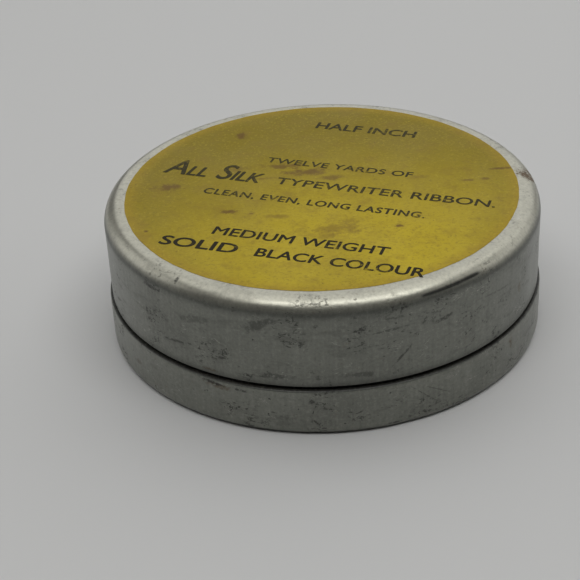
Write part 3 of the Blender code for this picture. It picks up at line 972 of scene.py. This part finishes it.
def make_lettering(name, lines, finish):
    """Several lines of print as one piece. A line is struck several times, each a little further
    along and higher, which gives its strokes their weight."""
    bm = bmesh.new()
    for words, start, stop, height, cap, spacing, weight in lines:
        for strike, (along, up) in enumerate(((-1, 0), (1, 0), (0, 0.7), (0, -0.7))):
            shift, raised = along * weight, height + up * weight
            rise = strike * STRIKE_RISE
            mesh = line_of_print(words, start + shift, stop + shift, raised, cap, spacing, rise)
            bm.from_mesh(mesh)
            bpy.data.meshes.remove(mesh)
    bmesh.ops.remove_doubles(bm, verts=bm.verts, dist=1e-7)
    made = bpy.data.meshes.new(name)
    bm.to_mesh(made)
    bm.free()
    dressed(name, made, finish, "lid")


# Words, start and stop along the line, baseline, capitals' height, letter spacing and boldness.
PRINTED_LINES = (
    ("HALF INCH", -7.0, 9.0, 19.7, 2.2, 1.0, 0.075),
    ("TWELVE YARDS OF", -10.7, 11.9, 6.6, 1.65, 1.05, 0.045),
    ("All Silk", -24.8, -9.6, -0.3, 4.8, 1.0, 0.10),
    ("TYPEWRITER RIBBON.", -7.1, 25.6, 0.1, 2.1, 1.02, 0.05),
    ("CLEAN, EVEN, LONG LASTING.", -16.5, 16.7, -5.2, 1.7, 1.12, 0.06),
)
STAMPED_LINES = (
    ("MEDIUM WEIGHT", -10.8, 14.4, -16.4, 2.2, 1.02, 0.065),
    ("SOLID", -17.0, -5.8, -20.8, 2.5, 1.0, 0.10),
    ("BLACK COLOUR", -3.0, 20.4, -20.8, 2.25, 1.02, 0.075),
)

make_lid()
make_base()
make_panel()
make_lettering("lid_printed_words", PRINTED_LINES, printed_ink)
make_lettering("lid_stamped_words", STAMPED_LINES, stamped_ink)

# ---------------------------------------------------------------- the card liners and the spool

FLANGE_SHEET = 0.4 * MM
FLANGE_BEND_R = 26.6 * MM  # where the flange's edge turns outwards
CORE_SHEET = 0.4 * MM
BORE_R = 4.0 * MM
BUSH_R = 4.5 * MM
HUB_R = 4.8 * MM  # centre hole of a flange
HUB_BAND_R = 12.0 * MM
SIXTHS = 6
WINDOW_R, WINDOW_FROM_AXIS = 3.0 * MM, 18.3 * MM
DRIVE_R, DRIVE_FROM_AXIS = 1.2 * MM, 7.8 * MM
TAB_HALF_SLOT, TAB_SLOT_ACROSS, TAB_FROM_AXIS = 1.6 * MM, 0.5 * MM, 9.8 * MM
TAB_WIDTH = 2.6 * MM
RIM_HEIGHT = 0.6 * MM  # from an end of the bush to the flange under its rolled rim
SLIT_DEG, SLIT_HALF_DEG = 268.0, 3.5  # the direction of the slit in the core, and its half width
HUB_BEAD_R, RIM_BEAD_R = 12.9 * MM, 25.2 * MM
PIN_R = 0.5 * MM
TAIL_HOLE_R = 1.7 * MM
CLIP_MOUTH_DEG, CLIP_FOLD_DEG = 295.9, 306.8
TAIL_R = 23.78 * MM
TAIL_FREE_DEG, TAIL_END_DEG = 206.0, 305.2  # where the outer turn leaves the pack, and its end
RIBBON_SHEET = 0.14 * MM


def turned(points, angle):
    """Points turned about Z."""
    cos, sin = math.cos(angle), math.sin(angle)
    x, y = points[:, 0] * cos - points[:, 1] * sin, points[:, 0] * sin + points[:, 1] * cos
    return np.stack([x, y, points[:, 2]], axis=1)


def holed_patch(border, centre, across, up, rings, squareness=2.0):
    """A flat patch from a hole's edge out to a border of (x, y) points. Each spoke runs from the
    border towards the hole's centre and stops on the hole, whose outline is an ellipse, or with a
    higher squareness a rounded oblong: |x/across|^n + |y/up|^n = 1."""
    spoke = border - centre
    spoke = spoke / np.linalg.norm(spoke, axis=1)[:, None]
    reach = (np.abs(spoke / (across, up)) ** squareness).sum(axis=1) ** (-1 / squareness)
    hole = centre + spoke * reach[:, None]
    share = np.linspace(0, 1, rings + 1)[:, None, None] ** 1.3
    points = (hole + (border - hole) * share).reshape(-1, 2)
    return points, grid_faces(rings + 1, len(border), wrap_cols=True)


def sector_border(inner, outer, arc_steps, side_steps):
    """The outline of a sixth of a ring about the x axis, as evenly spaced (x, y) points."""
    half = math.pi / SIXTHS
    arc = np.linspace(-half, half, arc_steps + 1)[:-1]
    side = np.linspace(inner, outer, side_steps + 1)[:-1]
    near = np.stack([inner * np.cos(-arc), inner * np.sin(-arc)], axis=1)
    far = np.stack([outer * np.cos(arc), outer * np.sin(arc)], axis=1)
    out = np.stack([side * math.cos(half), -side * math.sin(half)], axis=1)
    returning = inner + outer - side
    back = np.stack([returning * math.cos(half), returning * math.sin(half)], axis=1)
    return np.concatenate([near, out, far, back])


def flange_relief(points):
    """How far a flange's sheet stands out from its plane: raised lips round the windows, a bead
    round the hub band, another near the edge, and the edge turned outwards on a curve."""
    x, y = points[:, 0], points[:, 1]
    radius, angle = polar(points)
    sixth = TURN / SIXTHS
    near = np.round(angle / sixth) * sixth
    to_window = np.hypot(x - WINDOW_FROM_AXIS * np.cos(near), y - WINDOW_FROM_AXIS * np.sin(near))
    relief = 0.10 * bump_shape((to_window - WINDOW_R - 0.35 * MM) / (0.4 * MM))
    relief += 0.16 * bump_shape((radius - HUB_BEAD_R) / (0.55 * MM))
    relief += 0.10 * bump_shape((radius - RIM_BEAD_R) / (0.5 * MM))
    past = np.clip((radius - FLANGE_BEND_R) / (FLANGE_R - FLANGE_BEND_R), 0, 1)
    return (relief + 0.47 * past**1.6) * MM


def make_flange(name, middle_z, side):
    """A pressed flange: a hub band with three drive holes and three slots by turns, an outer band
    with six windows, and the turned edge. Its sheet is given its thickness at the end."""
    parts = []
    hub_border = sector_border(HUB_R, HUB_BAND_R, 24, 8)
    window_border = sector_border(HUB_BAND_R, FLANGE_BEND_R, 24, 16)
    for k in range(SIXTHS):
        if k % 2:
            hole = (TAB_FROM_AXIS, TAB_SLOT_ACROSS, TAB_HALF_SLOT, 5.0)
        else:
            hole = (DRIVE_FROM_AXIS, DRIVE_R, DRIVE_R, 2.0)
        hub = holed_patch(hub_border, np.array([hole[0], 0]), hole[1], hole[2], 6, hole[3])
        window = holed_patch(window_border, np.array([WINDOW_FROM_AXIS, 0]), WINDOW_R, WINDOW_R, 9)
        for flat, faces in (hub, window):
            points = np.column_stack([flat, np.zeros(len(flat))])
            parts.append((turned(points, k * TURN / SIXTHS), faces))
    steps = 24 * SIXTHS
    rim_r = np.linspace(FLANGE_BEND_R, FLANGE_R - FLANGE_SHEET / 2, 7)
    parts.append(revolve(np.stack([rim_r, 0 * rim_r], axis=1), steps))
    points, faces = joined(*parts)
    radius, angle = polar(points)
    wobble = 0.05 * MM * (radius / FLANGE_R) ** 2 * np.sin(2 * angle + 1.1 * side)
    points[:, 2] = middle_z + side * flange_relief(points) + wobble
    made = piece(name + "_pressing", points, faces, steel, "spool", [name], sharp_deg=50)
    thickened(made, FLANGE_SHEET)


def make_liner(name, low, seed, body):
    """A card disc with a soft edge. It is slightly warped, as z rises and falls twice round."""
    high = low + (LINER_HIGH - LINER_LOW)
    points, faces = revolve(disc_profile(LINER_R, low, high, 0.16 * MM, 0.9 * MM), 180)
    radius, angle = polar(points)
    share = radius / LINER_R
    points[:, 2] += 0.10 * MM * share**2 * np.sin(2 * angle + seed)
    points[:, 2] += 0.03 * MM * share * np.sin(3 * angle + 2 * seed)
    points[:, :2] *= (1 - 0.003 * share**6 * (1 + np.sin(9 * angle + seed)) / 2)[:, None]
    piece(name + "_card", points, faces, card, body, [name])


def swept(path, side, outline):
    """An outline carried along a path. At each point the outline's second coordinate runs along
    side and its first along side x path. The two end rings close to a point."""
    ahead = np.gradient(path, axis=0)
    ahead /= np.linalg.norm(ahead, axis=1)[:, None]
    across = np.cross(side, ahead)
    across /= np.linalg.norm(across, axis=1)[:, None]
    rings = path[:, None] + across[:, None] * outline[None, :, :1] + side[None, None] * outline[None, :, 1:]
    rings = np.concatenate([np.broadcast_to(path[:1, None], rings[:1].shape), rings])
    rings = np.concatenate([rings, np.broadcast_to(path[-1:, None], rings[:1].shape)])
    return rings.reshape(-1, 3), grid_faces(len(path) + 2, len(outline), wrap_cols=True)


def strip_outline(thick, wide, edge):
    """A flat bar's cross-section with rounded corners."""
    half_t, half_w = thick / 2, wide / 2
    corners = [(half_t, -half_w), (half_t, half_w), (-half_t, half_w), (-half_t, -half_w)]
    return rounded([(*c, edge) for c in corners], closed=True, step=0.4 * MM, arc_steps=3)


def make_core():
    """The barrel that the ribbon is wound on, with a slit where the ribbon's end goes in, and
    three tabs at each end that go through a flange's slots and are bent down over it."""
    low, high = LOWER_FLANGE_TOP, UPPER_FLANGE_LOW
    wall = rounded(
        [
            (CORE_R, low, CUT_EDGE),
            (CORE_R, high, CUT_EDGE),
            (CORE_R - CORE_SHEET, high, CUT_EDGE),
            (CORE_R - CORE_SHEET, low, CUT_EDGE),
        ],
        closed=True,
        step=1.2 * MM,
        arc_steps=4,
    )
    angle = np.linspace(SLIT_DEG + SLIT_HALF_DEG, SLIT_DEG + 360 - SLIT_HALF_DEG, 121)[:, None] * TURN / 360
    radius, height = wall.T
    ring = np.stack(np.broadcast_arrays(radius * np.cos(angle), radius * np.sin(angle), height), axis=-1)
    ends = ring[[0, -1]].mean(axis=1, keepdims=True)
    ring = np.concatenate([ends[:1] + 0 * ring[:1], ring, ends[1:] + 0 * ring[:1]])
    parts = [(ring.reshape(-1, 3), grid_faces(len(ring), len(wall), wrap_cols=True))]
    bar = strip_outline(0.32 * MM, TAB_WIDTH, 0.1 * MM)
    for outer_face, end_z, side in ((BUSH_LOW + RIM_HEIGHT, low, -1), (BUSH_HIGH - RIM_HEIGHT, high, 1)):
        lie = outer_face + side * 0.17 * MM
        route = rounded(
            [
                (TAB_FROM_AXIS, end_z - side * MM, 0),
                (TAB_FROM_AXIS, lie, 0.3 * MM),
                (TAB_FROM_AXIS + 1.7 * MM, lie, 0),
            ],
            step=0.25 * MM,
        )
        path = np.column_stack([route[:, 0], np.zeros(len(route)), route[:, 1]])
        points, faces = swept(path, np.array([0.0, 1.0, 0.0]), bar)
        for k in (1, 3, 5):
            parts.append((turned(points, k * TURN / SIXTHS), faces))
    points, faces = joined(*parts)
    piece("core_barrel", points, faces, steel, "spool", ["spool_core"])


def make_bush():
    """The bush is a tube whose two ends are rolled outwards over the flanges."""
    under = RIM_HEIGHT
    profile = rounded(
        [
            (BORE_R, BUSH_LOW, 0.5 * MM),
            (BUSH_RIM_R, BUSH_LOW, 0.29 * MM),
            (BUSH_RIM_R, BUSH_LOW + under, 0.2 * MM),
            (BUSH_R, BUSH_LOW + under, 0.05 * MM),
            (BUSH_R, BUSH_HIGH - under, 0.05 * MM),
            (BUSH_RIM_R, BUSH_HIGH - under, 0.2 * MM),
            (BUSH_RIM_R, BUSH_HIGH, 0.29 * MM),
            (BORE_R, BUSH_HIGH, 0.55 * MM),
        ],
        closed=True,
        step=0.8 * MM,
        arc_steps=6,
    )
    points, faces = revolve(profile, 96, closed=True)
    piece("rolled_bush", points, faces, steel, "spool", ["spindle_bush"])


def make_pin():
    """A wire pin with round ends, which holds the ribbon's inner end in the slit."""
    low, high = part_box("ribbon_pin")
    points, faces = revolve(disc_profile(PIN_R, low[2], high[2], 0.3 * MM, 0.4 * MM), 20)
    points[:, :2] += middle_of("ribbon_pin")[:2]
    piece("wire_pin", points, faces, steel, "spool", ["ribbon_pin"])


def make_pack():
    """The wound ribbon. Its outer turn ends in a step, r = R - one turn x the share of the way
    round, and on its two sides the turns stand a little higher or lower than each other."""
    inner = CORE_R + 0.02 * MM
    radii = np.linspace(inner, PACK_R, 64)
    in_mm = radii / MM
    wander = 0.04 * np.sin(9.1 * in_mm) + 0.07 * np.sin(2.3 * in_mm + 1) + 0.03 * np.sin(23.0 * in_mm)
    top = np.column_stack([radii, PACK_HIGH - 0.10 * MM + wander * MM])
    bottom = np.column_stack([radii, PACK_LOW + 0.10 * MM + wander * MM])[::-1]
    height = np.linspace(1, -1, 30)[1:-1]
    outer_z = PACK_MIDDLE + height * (PACK_HIGH - PACK_LOW) / 2
    outside = np.column_stack([PACK_R - 0.05 * MM * height**8, outer_z])
    profile = np.concatenate([top, outside, bottom])
    points, faces = revolve(profile, 300, closed=True)
    radius, angle = polar(points)
    share = ((angle - math.radians(TAIL_FREE_DEG)) / TURN) % 1.0
    outer = np.clip((radius / PACK_R - 0.9) / 0.1, 0, 1)
    reach = outer * (-0.13 * MM * share + 0.02 * MM * np.sin(4 * angle + 900 * points[:, 2]))
    points[:, :2] *= (1 + reach / radius)[:, None]
    on_side = np.abs(points[:, 2] - PACK_MIDDLE) > PACK_SIDE_FROM_MIDDLE
    points[:, 2] += 0.03 * MM * on_side * np.sin(5 * angle + 2000 * radius)
    piece("wound_ribbon", points, faces, ribbon_turns, "spool", ["ribbon_pack"], sharp_deg=60)


def tail_place(along, z):
    """The loose end's surface: along runs from where it leaves the pack. Its radius rises from
    the pack's to the eyelet's with a smooth step, and then wavers slightly."""
    degrees = TAIL_FREE_DEG + np.degrees(along / TAIL_R)
    leave = np.clip((degrees - TAIL_FREE_DEG) / 24, 0, 1)
    leave = leave * leave * (3 - 2 * leave)
    radius = PACK_R + RIBBON_SHEET + (TAIL_R - PACK_R - RIBBON_SHEET) * leave
    settle = np.clip((250 - degrees) / 15, 0, 1) * leave
    radius = radius + settle * 0.10 * MM * np.sin(np.radians(degrees) * 14 + (z - PACK_MIDDLE) / (5 * MM))
    angle = np.radians(degrees)
    return np.stack([radius * np.cos(angle), radius * np.sin(angle), z], axis=-1)


def make_tail():
    """The ribbon's loose outer end, a strip of cloth with a hole for its eyelet. The strip is two
    plain grids with a holed patch between them."""
    wide = PACK_HIGH - PACK_LOW
    length = math.radians(TAIL_END_DEG - TAIL_FREE_DEG) * TAIL_R
    place = middle_of("tail_eyelet")
    hole = (math.atan2(place[1], place[0]) - math.radians(TAIL_FREE_DEG)) % TURN * TAIL_R
    rows = np.linspace(PACK_LOW, PACK_HIGH, 25)
    parts = []
    for start, stop, count in ((0, hole - wide / 2, 36), (hole + wide / 2, length, 16)):
        along, z = np.meshgrid(np.linspace(start, stop, count), rows, indexing="ij")
        parts.append((np.column_stack([along.ravel(), z.ravel()]), grid_faces(count, len(rows))))
    near, far = hole - wide / 2, hole + wide / 2
    step = np.linspace(near, far, 25)
    border = np.concatenate(
        [
            np.column_stack([step[:-1], 0 * step[:-1] + PACK_LOW]),
            np.column_stack([0 * rows[:-1] + far, rows[:-1]]),
            np.column_stack([step[:0:-1], 0 * step[:-1] + PACK_HIGH]),
            np.column_stack([0 * rows[:-1] + near, rows[:0:-1]]),
        ]
    )
    parts.append(holed_patch(border, np.array([hole, PACK_MIDDLE]), TAIL_HOLE_R, TAIL_HOLE_R, 9))
    flat, faces = joined(*parts)
    points = tail_place(flat[:, 0], flat[:, 1])
    tail = piece("loose_end", points, faces, ribbon_weave, "spool", ["ribbon_tail"])
    thickened(tail, RIBBON_SHEET)


def make_eyelet():
    """A brass eyelet: a short barrel with both ends curled out over the cloth. It is turned about
    its own axis, and then laid along the radius at its place on the loose end."""
    middle = middle_of("tail_eyelet")
    angle = math.atan2(middle[1], middle[0])
    bore, barrel, rim, lip = 1.3 * MM, 1.65 * MM, 2.5 * MM, 0.36 * MM
    hold = RIBBON_SHEET / 2
    profile = rounded(
        [
            (bore, -hold - lip, 0.3 * MM),
            (rim, -hold - lip, 0.17 * MM),
            (rim, -hold, 0.1 * MM),
            (barrel, -hold, 0.03 * MM),
            (barrel, hold, 0.03 * MM),
            (rim, hold, 0.1 * MM),
            (rim, hold + lip, 0.17 * MM),
            (bore, hold + lip, 0.3 * MM),
        ],
        closed=True,
        step=0.3 * MM,
        arc_steps=5,
    )
    points, faces = revolve(profile, 48, closed=True)
    points = np.column_stack([points[:, 2] + TAIL_R, points[:, 0], points[:, 1] + PACK_MIDDLE])
    piece("brass_eyelet", turned(points, angle), faces, brass, "spool", ["tail_eyelet"])


def make_clip():
    """A metal tip folded over the ribbon's end. Its section is a strip carried round the fold, and
    its outer and inner leaves are pinched towards the cloth in a row of small crimps."""
    low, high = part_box("tail_clip")
    half, leaf = (high[2] - low[2]) / 2, 0.22 * MM
    mouth = math.radians(CLIP_MOUTH_DEG)
    fold = math.radians(CLIP_FOLD_DEG) - 0.5 * leaf / TAIL_R
    gap = RIBBON_SHEET / 2 + leaf / 2 + 0.03 * MM
    belly = 0.16 * MM
    share = np.linspace(0, 1, 34)
    leaf_angle = mouth + (fold - gap / TAIL_R - mouth) * share
    swell = belly * np.sin(np.pi * share) ** 0.7
    outer = np.column_stack([TAIL_R + gap + swell, leaf_angle])
    inner = np.column_stack([TAIL_R - gap - swell, leaf_angle])[::-1]
    bend = np.linspace(0, math.pi, 9)[1:-1]
    end_angle = leaf_angle[-1] + gap / TAIL_R * np.sin(bend)
    turn_over = np.column_stack([TAIL_R + gap * np.cos(bend), end_angle])
    route = np.concatenate([outer, turn_over, inner])
    radius, angle = route.T
    path = np.column_stack([radius * np.cos(angle), radius * np.sin(angle), 0 * radius])
    points, faces = swept(path, np.array([0.0, 0.0, 1.0]), strip_outline(leaf, 2 * half, 0.09 * MM))
    radius, angle = polar(points)
    row = bump_shape((angle % TURN - (mouth + 0.45 * (fold - mouth))) / math.radians(1.5))
    crimp = row * np.maximum(0, np.cos(points[:, 2] * TURN / (1.8 * MM))) * 0.14 * MM
    reach = np.where(radius > TAIL_R, -crimp, crimp)
    points[:, :2] *= (1 + reach / radius)[:, None]
    points[:, 2] += PACK_MIDDLE
    piece("folded_tip", points, faces, steel, "spool", ["tail_clip"])


make_liner("lower_liner", LINER_LOW, 0.4, "lower_liner")
make_liner("upper_liner", UPPER_LINER_LOW, 2.1, "upper_liner")
make_flange("lower_flange", LOWER_FLANGE_TOP - FLANGE_SHEET / 2, -1)
make_flange("upper_flange", UPPER_FLANGE_LOW + FLANGE_SHEET / 2, 1)
make_core()
make_bush()
make_pin()
make_pack()
make_tail()
make_eyelet()
make_clip()

# ---------------------------------------------------------------- camera, floor and light

CAMERA_ELEVATION = math.radians(30.1)
CAMERA_DISTANCE = 217 * MM
CAMERA_ROLL = math.radians(-3.04)
CAMERA_LENS = 89.7
CAMERA_AIM = Vector((-5.26, 0.0, 3.51)) * MM
TIN_HEART = Vector((0.0, 0.0, 9.0)) * MM
FLOOR_R = 0.9
FLOOR_GREY = (0.62, 0.62, 0.61, 1.0)


def make_camera():
    """Looks at the tin from the front and above, rolled slightly."""
    data = bpy.data.cameras.new("camera")
    data.lens = CAMERA_LENS
    data.clip_start = 1 * MM
    data.clip_end = 20.0
    camera = added("camera", data)
    away = Vector((0.0, -math.cos(CAMERA_ELEVATION), math.sin(CAMERA_ELEVATION)))
    camera.location = TIN_HEART + away * CAMERA_DISTANCE
    look = (CAMERA_AIM - camera.location).to_track_quat("-Z", "Y").to_matrix().to_4x4()
    roll = Matrix.Rotation(CAMERA_ROLL, 4, "Z")
    camera.rotation_euler = (look @ roll).to_euler()
    bpy.context.scene.camera = camera


def make_floor():
    """A plain pale floor, a wide flat disc."""
    points, faces = revolve(np.array([(0.0, 0.0), (FLOOR_R / 3, 0.0), (FLOOR_R, 0.0)]), 96)
    mesh = bpy.data.meshes.new("floor")
    mesh.from_pydata(points.tolist(), [], faces.tolist())
    mesh.shade_smooth()
    made, shader = principled("pale_floor", 0.85, 0.0)
    wire(shader, {"Base Color": FLOOR_GREY})
    mesh.materials.append(made)
    floor = added("floor", mesh)


def make_light(name, place, aim, width, height, power):
    """A soft rectangular lamp at a place, turned towards a point."""
    data = bpy.data.lights.new(name, "AREA")
    data.shape = "RECTANGLE"
    data.size, data.size_y = width, height
    data.energy = power
    lamp = added(name, data)
    lamp.location = place
    lamp.rotation_euler = (Vector(aim) - Vector(place)).to_track_quat("-Z", "Y").to_euler()


def make_world(seen, lit):
    """Even surroundings, pale where they are seen and dimmer where they light the tin."""
    world = bpy.data.worlds.new("surround")
    world.use_nodes = True
    Value.tree = world.node_tree
    seen_ray = values_of(put("ShaderNodeLightPath"))["Is Camera Ray"]
    strength = seen_ray * (seen - lit) + lit
    wire(world.node_tree.nodes["Background"], {"Strength": strength, "Color": (1.0, 1.0, 0.99, 1.0)})
    bpy.context.scene.world = world


make_camera()
make_floor()
make_world(seen=0.32, lit=0.05)
make_light("front_top", (0.03, -0.20, 0.52), (0.0, 0.0, 0.02), 0.62, 0.17, 1.05)
make_light("ceiling", (0.0, 0.16, 0.75), (0.0, 0.0, 0.0), 1.2, 0.6, 2.1)
make_light("behind", (0.10, 0.66, 0.42), (0.0, 0.0, 0.02), 1.0, 0.7, 1.65)
make_light("left", (-0.78, 0.26, 0.34), (0.0, 0.0, 0.01), 0.8, 0.6, 1.1)
make_light("right", (0.78, 0.26, 0.34), (0.0, 0.0, 0.01), 0.8, 0.6, 1.1)
bpy.context.scene.view_settings.view_transform = "Standard"
